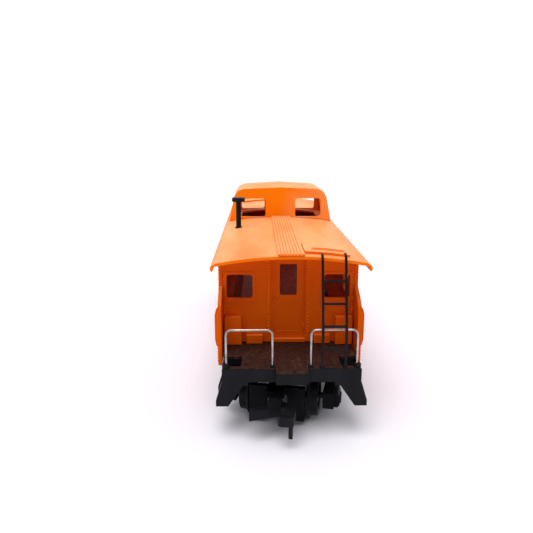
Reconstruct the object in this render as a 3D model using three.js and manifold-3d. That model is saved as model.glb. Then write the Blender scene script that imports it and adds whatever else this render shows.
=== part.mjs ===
// Cupola caboose in HO scale (1:87), millimetres, +Z up.
// The car's length runs along Y. The origin is on the floor, under the middle of the car.
// One end faces -Y; the other end is the same moulding turned half a turn about Z.
import * as THREE from "three";
import { mergeVertices } from "three/addons/utils/BufferGeometryUtils.js";
import Module from "manifold-3d";

const wasm = await Module();
wasm.setup();

// ---- Driving dimensions ----
const DECK_Z = 18.0; // top of the end platforms above the floor
const BEAM_Y = 70.5; // face of each end beam
const BEAM_HALF = 16.3; // half the width of the end beams
const BEAM_DEPTH = 3.3; // height of the end beams

const WALL_Y = 53.2; // outer face of each end wall
const WING_Y = 60.4; // ends of the side walls, which run past the end walls
const BODY_HALF = 17.8; // half the width over the side walls
const WALL = 0.9; // thickness of the shell's walls
const SKIRT_Z = DECK_Z - 3.4; // lower edge of the side walls

const ROOF_Y = 65.0; // ends of the roof
const ROOF_CROWN = DECK_Z + 25.55; // top of the roof on the centreline
const ROOF_DROP = 0.00524; // the roof falls by this times x squared
const ROOF_THICK = 0.8;
const EAVE_HALF = 19.0;
const EAVE_BEND = 17.65; // where the eave's lip turns down
const ROOF_GAP = 0.15; // room between the walls and the roof that lies on them

const CUPOLA_MID_Y = 12.0; // centre of the offset cupola
const CUPOLA_HALF_Y = 11.2; // half its length at the side walls
const CUPOLA_PROW = 2.0; // how far its end walls come to a point at the middle
const CUPOLA_FOOT_HALF = 17.6; // half its width at the roof
const CUPOLA_FOOT_Z = DECK_Z + 24;
const CUPOLA_SHOULDER_HALF = 15.9; // half its width where its own roof starts to curve over
const CUPOLA_SHOULDER_Z = DECK_Z + 32.4;
const CUPOLA_TOP_HALF = 12.6; // half the width of its roof's flatter top
const CUPOLA_TOP_Z = DECK_Z + 35.1;
const CUPOLA_CROWN = 0.8; // rise of the cupola's roof

const STACK_X = -13.8;
const STACK_Y = -17.4;

const WALK_HALF = 3.1; // half the width of the ribbed roof walk
const WALK_THICK = 0.5;
const WALK_RIBS = 8;

const PIVOT_Y = 48.5; // truck centres
const AXLE_Y = 9.7; // axle distance from the truck centre
const AXLE_Z = 6.2;
const FLANGE_R = 6.2;
const TREAD_R = 5.1;
const WHEEL_BACK = 7.2; // distance of each wheel's back from the centreline
const WHEEL_FRONT = 10.0; // distance of each wheel's outer face
const WHEEL_SIDES = 20;
const SIDEFRAME_IN = 11.1; // inner face of the truck side frames
const SIDEFRAME_OUT = 13.9;
const JOURNAL_OUT = 15.3; // outer face of the boxes at the axle ends
const HANGER_IN = 2.6; // the brake hangers ahead of the wheels
const HANGER_OUT = 7.0;
const HANGER_Y = -15.1;
const HANGER_LOW = 1.7;
const HANGER_TOP = 10.4;
const REST_SWIVEL = -12.0; // degrees that the front truck stands turned when the car is stored

const COUPLER_PIVOT_Y = 16.5; // coupler pivot ahead of the truck centre
const COUPLER_LOW = 6.0; // underside of the coupler's head and shank
const COUPLER_HIGH = 8.35;
const HOOK_FACE_Y = -27.0; // flat end of the coupler's hook, ahead of the truck centre

const BOARD_Y = [-61.9, -50.6]; // landing board along the car
const SLOT_Y = -58.6;

const RAIL_R = 0.27; // radius of the end railings' wire
const RAIL_Y = BEAM_Y - 1.15; // railings stand just inside the beam's face
const LADDER_Y = BEAM_Y - 0.4; // and the ladder in front of them
const RAIL_TOP = DECK_Z + 9.05;
const BOSS_TOP = DECK_Z + 0.5; // sockets on the deck that the wires stand in
const RAIL_FEET = [4.45, 15.3]; // the two legs of a railing
const LADDER_STILES = [7.12, 12.52];
const STILE_HALF = 0.28;
const LADDER_RUNGS = [4.7, 10.1, 15.1, 20.1]; // heights above the deck

// ---- Materials ----
const finish = (color, roughness, metalness) =>
  new THREE.MeshStandardMaterial({ color, roughness, metalness });
const orange = finish(0xf26a0c, 0.4, 0);
const black = finish(0x1c1c1f, 0.5, 0);
const brown = finish(0x4a2a1e, 0.8, 0);
const wire = finish(0xc9c2bb, 0.3, 1);
const steel = finish(0x8c8d90, 0.35, 1);
const clear = finish(0xdfe6e8, 0.05, 0);

// ---- Solids ----
function toSolid(geometry) {
  const bare = geometry.clone();
  bare.deleteAttribute("normal");
  bare.deleteAttribute("uv");
  const merged = mergeVertices(bare, 1e-4);
  const vertProperties = merged.attributes.position.array;
  const triVerts = new Uint32Array(merged.index.array);
  return new wasm.Manifold(new wasm.Mesh({ numProp: 3, vertProperties, triVerts }));
}

function toGeometry(solid) {
  const mesh = solid.getMesh();
  const geometry = new THREE.BufferGeometry();
  geometry.setAttribute("position", new THREE.BufferAttribute(mesh.vertProperties, 3));
  geometry.setIndex(new THREE.BufferAttribute(mesh.triVerts, 1));
  geometry.computeVertexNormals();
  return geometry;
}

const join = (solids) => solids.reduce((whole, next) => whole.add(next));
const cut = (solid, tools) => tools.reduce((left, tool) => left.subtract(tool), solid);

function block(x0, x1, y0, y1, z0, z1) {
  const geometry = new THREE.BoxGeometry(x1 - x0, y1 - y0, z1 - z0);
  return toSolid(geometry.translate((x0 + x1) / 2, (y0 + y1) / 2, (z0 + z1) / 2));
}

const outline = (points) => new THREE.Shape(points.map(([a, b]) => new THREE.Vector2(a, b)));

function roundedBox(a0, a1, b0, b1, r) {
  const shape = new THREE.Shape();
  shape.absarc(a1 - r, b0 + r, r, -Math.PI / 2, 0);
  shape.absarc(a1 - r, b1 - r, r, 0, Math.PI / 2);
  shape.absarc(a0 + r, b1 - r, r, Math.PI / 2, Math.PI);
  shape.absarc(a0 + r, b0 + r, r, Math.PI, Math.PI * 1.5);
  return shape;
}

const flat = (shape, depth) =>
  new THREE.ExtrudeGeometry(shape, { depth, bevelEnabled: false, curveSegments: 2 });

// An outline in x and z, run from y0 to y1.
const alongY = (shape, y0, y1) =>
  toSolid(flat(shape, y1 - y0).rotateX(Math.PI / 2).translate(0, y1, 0));

// An outline in x and y, run from z0 to z1.
const alongZ = (shape, z0, z1) => toSolid(flat(shape, z1 - z0).translate(0, 0, z0));

// An outline in y and z, run from x0 to x1.
const YZX = new THREE.Matrix4().makeBasis(
  new THREE.Vector3(0, 1, 0),
  new THREE.Vector3(0, 0, 1),
  new THREE.Vector3(1, 0, 0),
);
const alongX = (shape, x0, x1) =>
  toSolid(flat(shape, x1 - x0).applyMatrix4(YZX).translate(x0, 0, 0));

function post(x, y, z0, z1, radius, sides = 8) {
  const geometry = new THREE.CylinderGeometry(radius, radius, z1 - z0, sides);
  return toSolid(geometry.rotateX(Math.PI / 2).translate(x, y, (z0 + z1) / 2));
}

function rodX(x0, x1, y, z, radius, sides = 8) {
  const geometry = new THREE.CylinderGeometry(radius, radius, x1 - x0, sides);
  return toSolid(geometry.rotateZ(-Math.PI / 2).translate((x0 + x1) / 2, y, z));
}

const halfTurn = new THREE.Matrix4().makeRotationZ(Math.PI).elements;
const turned = (solid) => solid.transform(halfTurn);
const bothEnds = (solid) => solid.add(turned(solid));
const mirrored = (solid) => solid.mirror([1, 0, 0]);
const bothSides = (solid) => solid.add(mirrored(solid));

// ---- The roof's curve ----
const roofZ = (x) => ROOF_CROWN - ROOF_DROP * x * x;

// Points across the roof's curve from one side to the other, raised by lift.
function archPoints(half, lift, steps = 10) {
  const points = [];
  for (let i = 0; i <= steps; i += 1) {
    const x = half - (2 * half * i) / steps;
    points.push([x, roofZ(x) + lift]);
  }
  return points;
}

// ---- Body shell: two sides and two ends, open below and above ----
const SIDE_WINDOWS = [-39.2, -16.5, 34.0]; // middles along the car
const SIDE_WINDOW_HALF = 3.9;
const SIDE_WINDOW_Z = [DECK_Z + 10.0, DECK_Z + 17.6];
const END_WINDOW_X = [9.2, 15.8];
const END_WINDOW_Z = [DECK_Z + 12.0, DECK_Z + 18.3];
const DOOR_WINDOW_HALF = 2.2;
const DOOR_WINDOW_Z = [DECK_Z + 12.7, DECK_Z + 20.8];
const DOOR_HALF = 4.4;
const DOOR_RECESS = 0.6;
const SILL_Z = DECK_Z + 1.0;

function sideWall() {
  const top = roofZ(BODY_HALF) - ROOF_THICK - ROOF_GAP;
  const shoulder = DECK_Z + 12.0; // the wings are rounded off up to the corner post
  const corner = WALL_Y + 0.3;
  const shape = new THREE.Shape();
  shape.moveTo(-WING_Y, SKIRT_Z);
  shape.lineTo(WING_Y, SKIRT_Z);
  shape.lineTo(WING_Y, shoulder - 2);
  shape.quadraticCurveTo(WING_Y, shoulder + 0.8, corner, shoulder + 3.4);
  shape.lineTo(corner, top);
  shape.lineTo(-corner, top);
  shape.lineTo(-corner, shoulder + 3.4);
  shape.quadraticCurveTo(-WING_Y, shoulder + 0.8, -WING_Y, shoulder - 2);
  const windows = SIDE_WINDOWS.map((y) =>
    alongX(
      roundedBox(y - SIDE_WINDOW_HALF, y + SIDE_WINDOW_HALF, ...SIDE_WINDOW_Z, 0.8),
      BODY_HALF - 2,
      BODY_HALF + 1,
    ),
  );
  const rail = outline([
    [BODY_HALF - 0.1, DECK_Z + 0.9],
    [BODY_HALF + 0.45, DECK_Z + 1.7],
    [BODY_HALF + 0.75, DECK_Z + 3.2],
    [BODY_HALF + 0.75, DECK_Z + 9.6],
    [BODY_HALF + 0.45, DECK_Z + 10.9],
    [BODY_HALF - 0.1, DECK_Z + 11.7],
  ]);
  const handrail = alongY(rail, -59.7, -58.9);
  const wall = alongX(shape, BODY_HALF - WALL, BODY_HALF);
  return join([cut(wall, windows), handrail, handrail.mirror([0, 1, 0])]);
}

function endWall() {
  const inner = BODY_HALF - WALL / 2;
  const points = archPoints(inner, -ROOF_THICK - ROOF_GAP);
  const shape = outline([...points, [-inner, DECK_Z + 0.15], [inner, DECK_Z + 0.15]]);
  const wall = alongY(shape, -WALL_Y, -WALL_Y + WALL);
  const window = alongY(roundedBox(...END_WINDOW_X, ...END_WINDOW_Z, 0.7), -WALL_Y - 2, -WALL_Y + 2);
  const frame = alongY(
    roundedBox(END_WINDOW_X[0] - 0.7, END_WINDOW_X[1] + 0.6, END_WINDOW_Z[0] - 0.7, END_WINDOW_Z[1] + 0.7, 0.7),
    -WALL_Y - 0.2,
    -WALL_Y + 0.2,
  );
  const sill = block(8.3, 16.5, -WALL_Y - 0.45, -WALL_Y + 0.2, END_WINDOW_Z[0] - 1.2, END_WINDOW_Z[0] - 0.7);
  const locker = block(12.1, 16.4, -WALL_Y - 2.1, -WALL_Y + 0.2, DECK_Z + 0.15, DECK_Z + 7.4);
  const lowBox = block(6.7, 10.8, -WALL_Y - 1.4, -WALL_Y + 0.2, DECK_Z + 0.15, DECK_Z + 2.3);
  const doorRecess = block(-DOOR_HALF, DOOR_HALF, -WALL_Y - 1, -WALL_Y + DOOR_RECESS, SILL_Z, ROOF_CROWN - 2.2);
  const doorWindow = alongY(
    roundedBox(-DOOR_WINDOW_HALF, DOOR_WINDOW_HALF, ...DOOR_WINDOW_Z, 0.3),
    -WALL_Y - 2,
    -WALL_Y + 2,
  );
  const doorSill = block(-DOOR_HALF, DOOR_HALF, -WALL_Y - 0.5, -WALL_Y + 0.2, DECK_Z + 0.15, SILL_Z);
  const details = bothSides(join([frame, sill, locker, lowBox]));
  return cut(join([wall, details, doorSill]), [doorRecess, doorWindow, bothSides(window)]);
}

const bodyShell = () => join([bothSides(sideWall()), bothEnds(endWall())]);

// ---- Roof: a thin arched sheet with turned-down eaves ----
function roofSheet() {
  const lip = [
    [EAVE_HALF - 0.45, -0.5],
    [EAVE_HALF, -1.1],
    [EAVE_HALF, -1.75],
    [EAVE_HALF - 0.35, -2.1],
    [EAVE_HALF - 0.7, -1.85],
    [EAVE_HALF - 0.85, -1.0],
  ];
  const left = lip.map(([x, drop]) => [-x, roofZ(EAVE_BEND) + drop]);
  const right = left.map(([x, z]) => [-x, z]).reverse();
  const over = archPoints(EAVE_BEND, 0);
  const under = archPoints(EAVE_BEND + 0.35, -ROOF_THICK).reverse();
  return alongY(outline([...over, ...left, ...under, ...right]), -ROOF_Y, ROOF_Y);
}

// The hole under the cupola, a little inside its walls.
const roofOpening = () =>
  block(-13.6, 13.6, CUPOLA_MID_Y - 9.6, CUPOLA_MID_Y + 9.6, ROOF_CROWN - 8, ROOF_CROWN + 4);

// Everything below the roof's curve, to cut away what stands on it.
const belowRoof = (gap) => {
  const deep = ROOF_CROWN - 12;
  return alongY(outline([...archPoints(20, gap), [-20, deep], [20, deep]]), -ROOF_Y, ROOF_Y);
};

// ---- Cupola: leaning sides, pointed ends, windows all round ----
function cupolaForm(inset) {
  const shoulder = CUPOLA_SHOULDER_HALF - inset;
  const top = CUPOLA_TOP_HALF - inset;
  const low = ROOF_CROWN - 6;
  const high = CUPOLA_TOP_Z - inset;
  const bend = CUPOLA_SHOULDER_Z - inset / 2;
  const lean = (CUPOLA_FOOT_HALF - CUPOLA_SHOULDER_HALF) / (CUPOLA_SHOULDER_Z - CUPOLA_FOOT_Z);
  const widest = shoulder + lean * (bend - low);
  const shape = new THREE.Shape();
  shape.moveTo(widest, low);
  shape.lineTo(shoulder, bend);
  shape.quadraticCurveTo(shoulder - 0.7, high - 0.3, top, high);
  shape.quadraticCurveTo(0, high + CUPOLA_CROWN * 1.6, -top, high);
  shape.quadraticCurveTo(-shoulder + 0.7, high - 0.3, -shoulder, bend);
  shape.lineTo(-widest, low);
  const reach = CUPOLA_HALF_Y + CUPOLA_PROW + 1;
  const section = alongY(shape, CUPOLA_MID_Y - reach, CUPOLA_MID_Y + reach);
  const side = CUPOLA_HALF_Y - inset;
  const prow = side + CUPOLA_PROW;
  const plan = outline([
    [20, CUPOLA_MID_Y - side],
    [20, CUPOLA_MID_Y + side],
    [0, CUPOLA_MID_Y + prow],
    [-20, CUPOLA_MID_Y + side],
    [-20, CUPOLA_MID_Y - side],
    [0, CUPOLA_MID_Y - prow],
  ]);
  return section.intersect(alongZ(plan, low - 1, CUPOLA_TOP_Z + 4));
}

function cupola() {
  const sill = DECK_Z + 25.6;
  const head = DECK_Z + 31.9;
  const endWindow = alongY(roundedBox(5.1, 13.9, sill, head, 0.8), CUPOLA_MID_Y - 20, CUPOLA_MID_Y + 20);
  const sideWindow = (y) => alongX(roundedBox(y - 3.6, y + 3.6, sill, head, 0.8), -20, 20);
  return cut(cupolaForm(0), [
    cupolaForm(WALL),
    bothSides(endWindow),
    sideWindow(CUPOLA_MID_Y - 5),
    sideWindow(CUPOLA_MID_Y + 5),
    belowRoof(ROOF_GAP),
  ]);
}

// ---- Roof walk: a strip with ribs along its length ----
function roofWalk(y0, y1) {
  const low = ROOF_CROWN + 0.05;
  const high = low + WALK_THICK;
  const pitch = (2 * WALK_HALF) / WALK_RIBS;
  const points = [
    [-WALK_HALF, low],
    [WALK_HALF, low],
  ];
  for (let i = WALK_RIBS - 1; i >= 0; i -= 1) {
    const left = -WALK_HALF + i * pitch;
    const edge = i === WALK_RIBS - 1 ? pitch : pitch * 0.7;
    points.push([left + edge, high]);
    points.push([left, high]);
    if (i > 0) {
      points.push([left, high - 0.25]);
      points.push([left - pitch * 0.3, high - 0.25]);
    }
  }
  return alongY(outline(points), y0, y1);
}

// ---- Landing board beside the walk, over the ladder: it lies along the roof's slope ----
function landingBoard() {
  const strip = (xs, low, high, y0, y1) => {
    const under = xs.map((x) => [x, roofZ(x) + low]);
    const over = xs.map((x) => [x, roofZ(x) + high]).reverse();
    return alongY(outline([...under, ...over]), y0, y1);
  };
  const plank = strip([3.3, 6.9, 10.5, 14.1], 0.08, 0.65, BOARD_Y[0], BOARD_Y[1]);
  const rim = strip([5.2, 9.3, 13.4], 0.5, 0.85, SLOT_Y - 0.8, SLOT_Y + 0.8);
  const slot = alongZ(roundedBox(5.5, 13.1, SLOT_Y - 0.5, SLOT_Y + 0.5, 0.3), ROOF_CROWN - 6, ROOF_CROWN + 2);
  return join([plank, rim]).subtract(slot);
}

// ---- Smoke stack ----
function smokeStack() {
  const foot = roofZ(BODY_HALF) - 1;
  const collar = roofZ(STACK_X) + 0.65;
  const top = DECK_Z + 34.1;
  const profile = [
    [0, foot],
    [1.1, foot],
    [1.1, collar],
    [0.8, collar + 0.1],
    [0.8, top - 1.3],
    [2.05, top - 1.2],
    [2.05, top - 0.15],
    [1.7, top],
    [0, top],
  ];
  const geometry = new THREE.LatheGeometry(profile.map(([r, z]) => new THREE.Vector2(r, z)), 12);
  const stack = toSolid(geometry.rotateX(Math.PI / 2).translate(STACK_X, STACK_Y, 0));
  return stack.subtract(belowRoof(0.03));
}

// ---- Underframe: floor, end beams, steps, sills and bolsters in one moulding ----
const FLOOR_LOW = DECK_Z - 2.4;
const FLOOR_TOP = DECK_Z - 0.6; // deck plates and the weight lie on this
const WELL_X = [11.8, 15.9];
const WELL_Y = [-BEAM_Y + 1.7, -BEAM_Y + 7.5];

function stepPlate(y0, y1) {
  const shape = outline([
    [10.2, FLOOR_LOW],
    [BEAM_HALF, FLOOR_LOW],
    [BEAM_HALF, DECK_Z - 3.1],
    [17.8, DECK_Z - 8],
    [17.8, DECK_Z - 9.4],
    [14.9, DECK_Z - 9.4],
    [11.4, DECK_Z - 4.2],
    [10.2, DECK_Z - 4.2],
  ]);
  return alongY(shape, y0, y1);
}

// The rear plate is cut back further, so that a turned truck's wheels pass it.
function rearStepPlate(y0, y1) {
  const shape = outline([
    [12.0, FLOOR_LOW],
    [BEAM_HALF, FLOOR_LOW],
    [BEAM_HALF, DECK_Z - 3.1],
    [17.8, DECK_Z - 8],
    [17.8, DECK_Z - 9.4],
    [15.7, DECK_Z - 9.4],
    [13.8, DECK_Z - 5.0],
    [12.0, DECK_Z - 3.4],
  ]);
  return alongY(shape, y0, y1);
}

function steps() {
  const front = -BEAM_Y;
  const tread = (x0, x1, drop) => block(x0, x1, front + 0.5, front + 8, DECK_Z - drop - 0.6, DECK_Z - drop);
  return join([
    stepPlate(front, front + 1.1),
    rearStepPlate(front + 7.6, front + 8.6),
    tread(12.2, 16.4, 4.4),
    tread(14.9, 17.7, 8.8),
  ]);
}

function bosses(lift) {
  const boss = (x, y) => post(x, y, FLOOR_TOP - 0.3, BOSS_TOP, 0.6 + lift);
  const wireFoot = bothSides(boss(RAIL_FEET[0], -RAIL_Y));
  const ladderFeet = LADDER_STILES.map((x) => boss(x, -LADDER_Y + 0.2));
  const knob = post(RAIL_FEET[1] + 0.15, -RAIL_Y, FLOOR_TOP - 0.3, DECK_Z + 0.85, 0.85 + lift);
  const wireHole = post(RAIL_FEET[1], -RAIL_Y, BOSS_TOP, BOSS_TOP + 1, RAIL_R + 0.12);
  return join([wireFoot, ...ladderFeet, bothSides(knob)]).subtract(bothSides(wireHole));
}

function endPlatform() {
  const front = -BEAM_Y;
  const floor = block(-BEAM_HALF, BEAM_HALF, front, -WING_Y + 0.4, FLOOR_LOW, FLOOR_TOP);
  const beam = block(-BEAM_HALF, BEAM_HALF, front, front + 1.5, DECK_Z - BEAM_DEPTH, FLOOR_TOP);
  const rim = block(-BEAM_HALF, BEAM_HALF, front, front + 0.25, FLOOR_TOP - 0.1, DECK_Z - 0.05);
  const nose = block(-3.75, 3.75, front - 2.05, front + 0.5, DECK_Z - 3.1, FLOOR_TOP);
  const well = block(...WELL_X, ...WELL_Y, DECK_Z - 4.3, DECK_Z + 1);
  const solid = join([floor, beam, rim, nose, bothSides(steps()), bosses(0)]);
  return cut(solid, [bothSides(well), block(-3.75, 3.75, front - 1, front + 1, FLOOR_TOP, DECK_Z)]);
}

function underframe() {
  const inside = BODY_HALF - WALL - 0.4;
  const floor = block(-inside, inside, -WING_Y, WING_Y, FLOOR_LOW, FLOOR_TOP);
  const sill = block(-3.4, 3.4, -36, 36, FLOOR_LOW - 2.6, FLOOR_LOW + 0.2);
  const bearers = [-27, -9, 9, 27].map((y) =>
    alongY(
      outline([
        [-14.5, FLOOR_LOW + 0.2],
        [-14.5, FLOOR_LOW - 0.8],
        [-3, FLOOR_LOW - 2.4],
        [3, FLOOR_LOW - 2.4],
        [14.5, FLOOR_LOW - 0.8],
        [14.5, FLOOR_LOW + 0.2],
      ]),
      y - 0.6,
      y + 0.6,
    ),
  );
  const toolBox = block(6.5, 14.2, -5.5, 5.5, FLOOR_LOW - 4.6, FLOOR_LOW + 0.2);
  const airTank = toSolid(
    new THREE.CylinderGeometry(2.1, 2.1, 13, 12).translate(-8.6, 18, FLOOR_LOW - 1.9),
  );
  const airValve = block(-10.5, -6.2, -20, -14.5, FLOOR_LOW - 3.2, FLOOR_LOW + 0.2);
  const bolster = join([
    block(-11, 11, -PIVOT_Y - 2.4, -PIVOT_Y + 2.4, FLOOR_LOW - 1.6, FLOOR_LOW + 0.2),
    post(0, -PIVOT_Y, 10.9, FLOOR_LOW, 3.2, 16),
  ]).subtract(post(0, -PIVOT_Y, 10, FLOOR_LOW - 0.4, 1.1));
  return join([floor, sill, ...bearers, toolBox, airTank, airValve, bothEnds(join([bolster, endPlatform()]))]);
}

// ---- Deck plate with the planked platform surface ----
function deckPlate() {
  const front = -BEAM_Y;
  const back = -WALL_Y + WALL + 0.2;
  const wide = block(-BEAM_HALF, BEAM_HALF, front + 0.3, back, FLOOR_TOP, DECK_Z);
  const nose = block(-3.7, 3.7, front - 1.95, front + 1, FLOOR_TOP, DECK_Z);
  const well = block(...WELL_X, ...WELL_Y, FLOOR_TOP - 1, DECK_Z + 1);
  const corner = block(RAIL_FEET[1], BEAM_HALF + 1, front, -RAIL_Y, FLOOR_TOP - 1, DECK_Z + 1);
  return cut(join([wide, nose]), [bothSides(well), bothSides(corner), bosses(0.1)]);
}

const weight = () => block(-13.5, 13.5, -44, 44, FLOOR_TOP, FLOOR_TOP + 2.2);

// ---- Clear glazing behind the windows ----
const endGlass = () => block(-16.2, 16.2, -WALL_Y + WALL + 0.1, -WALL_Y + WALL + 0.6, DECK_Z + 10.6, DECK_Z + 22);
const sideGlass = () => block(BODY_HALF - WALL - 0.6, BODY_HALF - WALL - 0.1, -50, 50, DECK_Z + 8.8, DECK_Z + 19);

// ---- Bent wire railing ----
function railing() {
  const [x0, x1] = RAIL_FEET;
  const r = 1.4;
  const at = (x, z) => new THREE.Vector3(x, -RAIL_Y, z);
  const path = new THREE.CurvePath();
  path.add(new THREE.LineCurve3(at(x0, BOSS_TOP), at(x0, RAIL_TOP - r)));
  path.add(new THREE.QuadraticBezierCurve3(at(x0, RAIL_TOP - r), at(x0, RAIL_TOP), at(x0 + r, RAIL_TOP)));
  path.add(new THREE.LineCurve3(at(x0 + r, RAIL_TOP), at(x1 - r, RAIL_TOP)));
  path.add(new THREE.QuadraticBezierCurve3(at(x1 - r, RAIL_TOP), at(x1, RAIL_TOP), at(x1, RAIL_TOP - r)));
  path.add(new THREE.LineCurve3(at(x1, RAIL_TOP - r), at(x1, BOSS_TOP)));
  const section = [];
  for (let i = 0; i < 6; i += 1) {
    const angle = (i * Math.PI) / 3;
    section.push([RAIL_R * Math.cos(angle), RAIL_R * Math.sin(angle)]);
  }
  return toSolid(
    new THREE.ExtrudeGeometry(outline(section), { steps: 24, bevelEnabled: false, extrudePath: path }),
  );
}

// ---- Ladder: upright to the railing, then leaning back and hooked over the roof's edge ----
function ladder() {
  const out = -LADDER_Y - 0.25;
  const back = -LADDER_Y + 0.25;
  const bend = RAIL_TOP + 0.6;
  const edge = ROOF_CROWN - 1.0;
  const lean = 4.1 / (edge - bend); // how far the upper part leans back for each mm it rises
  const stile = outline([
    [out, BOSS_TOP],
    [back, BOSS_TOP],
    [back, bend],
    [-ROOF_Y - 0.75, edge],
    [-ROOF_Y - 0.3, ROOF_CROWN - 0.1],
    [-ROOF_Y + 0.8, ROOF_CROWN + 0.2],
    [-ROOF_Y + 0.8, ROOF_CROWN + 0.6],
    [-ROOF_Y - 0.6, ROOF_CROWN + 0.35],
    [-ROOF_Y - 1.25, edge + 0.2],
    [out, bend + 0.1],
  ]);
  const stiles = LADDER_STILES.map((x) => alongX(stile, x - STILE_HALF, x + STILE_HALF));
  const rungs = LADDER_RUNGS.map((height) => {
    const z = DECK_Z + height;
    const y = -LADDER_Y + Math.max(0, z - bend) * lean;
    return block(...LADDER_STILES, y - 0.2, y + 0.2, z - 0.25, z + 0.25);
  });
  return join([...stiles, ...rungs]);
}

// ---- Truck screw: the pivot that holds a truck to the body ----
function pivotScrew() {
  const profile = [
    [0, 7.5],
    [2.2, 7.5],
    [2.2, 8.0],
    [1.7, 8.5],
    [0.85, 8.5],
    [0.85, 14.6],
    [0, 14.6],
  ];
  const geometry = new THREE.LatheGeometry(profile.map(([r, z]) => new THREE.Vector2(r, z)), 12);
  const slot = block(-2.5, 2.5, -0.25, 0.25, 7, 7.85);
  return toSolid(geometry.rotateX(Math.PI / 2)).subtract(slot);
}

// ---- Truck frame: side frames, bolster, brake hangers and the arm that carries the coupler ----
// Everything of a truck is in the truck's own frame, with its pivot at the origin.
function sideFrame() {
  const half = [
    [0, 2.6],
    [3.2, 2.6],
    [7.2, 4.8],
    [7.8, 4.2],
    [12.9, 4.2],
    [12.9, 8.2],
    [7.4, 8.2],
    [3.4, 9.5],
    [0, 9.5],
  ];
  const whole = [...half, ...half.slice(1, -1).reverse().map(([y, z]) => [-y, z])];
  const plate = alongX(outline(whole), SIDEFRAME_IN, SIDEFRAME_OUT);
  const box = outline([
    [SIDEFRAME_OUT - 0.3, 4.4],
    [JOURNAL_OUT - 0.5, 4.4],
    [JOURNAL_OUT, 5.0],
    [JOURNAL_OUT, 7.6],
    [JOURNAL_OUT - 0.5, 8.1],
    [SIDEFRAME_OUT - 0.3, 8.1],
  ]);
  const journal = alongY(box, AXLE_Y - 2.1, AXLE_Y + 2.4);
  const gap = outline([
    [3.4, 4.6],
    [6.2, 6.0],
    [6.4, 7.1],
    [3.4, 8.0],
  ]);
  const hole = alongX(gap, SIDEFRAME_IN - 1, SIDEFRAME_OUT + 1);
  const socket = rodX(SIDEFRAME_IN - 1, SIDEFRAME_IN + 1.5, AXLE_Y, AXLE_Z, 1.1);
  const mirrorY = (solid) => solid.mirror([0, 1, 0]);
  return cut(join([plate, journal, mirrorY(journal)]), [hole, mirrorY(hole), socket, mirrorY(socket)]);
}

function truckFrame() {
  const bolster = block(-SIDEFRAME_IN - 0.2, SIDEFRAME_IN + 0.2, -3.0, 3.0, 8.8, 10.5);
  const arm = block(-2.2, 2.2, -18.9, -2.8, 8.8, 10.5);
  const pivot = post(0, -COUPLER_PIVOT_Y, 5.0, 9, 0.95);
  const hole = post(0, 0, 8, 12, 1.3);
  const hangerBar = block(-HANGER_OUT, HANGER_OUT, HANGER_Y - 0.8, HANGER_Y + 0.8, HANGER_TOP - 1.5, HANGER_TOP);
  const hanger = alongY(
    outline([
      [HANGER_IN, HANGER_TOP - 1],
      [HANGER_IN, HANGER_LOW + 0.7],
      [HANGER_IN + 0.6, HANGER_LOW],
      [HANGER_OUT, HANGER_LOW],
      [HANGER_OUT, HANGER_TOP - 1],
    ]),
    HANGER_Y - 0.8,
    HANGER_Y + 0.6,
  );
  return cut(join([bothSides(sideFrame()), bolster, arm, pivot, hangerBar, bothSides(hanger)]), [hole]);
}

const couplerCover = () =>
  block(-1.9, 1.9, -18.7, -14.2, 5.0, 5.7).subtract(post(0, -COUPLER_PIVOT_Y, 4, 7, 1.05));

// ---- Horn-hook coupler, turning on the post of the truck's arm ----
function coupler() {
  const head = outline([
    [-1.3, -14.6],
    [-1.3, -20.4],
    [-4.3, -23.7],
    [-5.0, -24.6],
    [-4.7, -26.0],
    [-0.6, -23.8],
    [2.2, -22.4],
    [3.6, -22.9],
    [3.6, -24.9],
    [2.2, -25.2],
    [2.2, -26.6],
    [2.7, HOOK_FACE_Y],
    [5.3, HOOK_FACE_Y],
    [5.8, -26.5],
    [5.8, -22.4],
    [3.6, -20.2],
    [1.3, -18.8],
    [1.3, -14.6],
  ]);
  const knuckle = alongZ(
    outline([
      [-0.7, -23.86],
      [2.2, -22.4],
      [2.2, -20.2],
      [-0.7, -20.2],
    ]),
    COUPLER_HIGH - 0.3,
    COUPLER_HIGH + 2.0,
  );
  const pin = alongX(
    outline([
      [-26.9, COUPLER_LOW + 0.3],
      [-25.3, COUPLER_LOW + 0.3],
      [-25.4, 5.0],
      [-26.0, 2.9],
      [-26.6, 2.9],
      [-26.9, 5.0],
    ]),
    4.7,
    5.6,
  );
  const body = alongZ(head, COUPLER_LOW, COUPLER_HIGH);
  return join([body, knuckle, pin]).subtract(post(0, -COUPLER_PIVOT_Y, 5, 9, 1.1));
}

// ---- Wheels and axles ----
function wheel() {
  const profile = [
    [0.95, WHEEL_BACK],
    [FLANGE_R - 0.3, WHEEL_BACK],
    [FLANGE_R, WHEEL_BACK + 0.3],
    [TREAD_R + 0.15, WHEEL_BACK + 0.9],
    [TREAD_R - 0.1, WHEEL_FRONT],
    [3.9, WHEEL_FRONT],
    [3.4, WHEEL_FRONT - 0.7],
    [0.95, WHEEL_FRONT - 0.3],
    [0.95, WHEEL_BACK],
  ];
  const spin = new THREE.LatheGeometry(profile.map(([r, x]) => new THREE.Vector2(r, x)), WHEEL_SIDES);
  return spin.rotateZ(-Math.PI / 2);
}

function axle() {
  const tip = SIDEFRAME_IN + 1.3;
  const profile = [
    [0, -tip],
    [0.75, -tip + 0.9],
    [0.75, tip - 0.9],
    [0, tip],
  ];
  return new THREE.LatheGeometry(profile.map(([r, x]) => new THREE.Vector2(r, x)), 8).rotateZ(-Math.PI / 2);
}

// ---- Assembly ----
const caboose = new THREE.Group();

function add(group, name, shape, material) {
  const geometry = shape.isBufferGeometry ? shape : toGeometry(shape);
  const mesh = new THREE.Mesh(geometry, material);
  mesh.name = name;
  group.add(mesh);
  return mesh;
}

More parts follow.
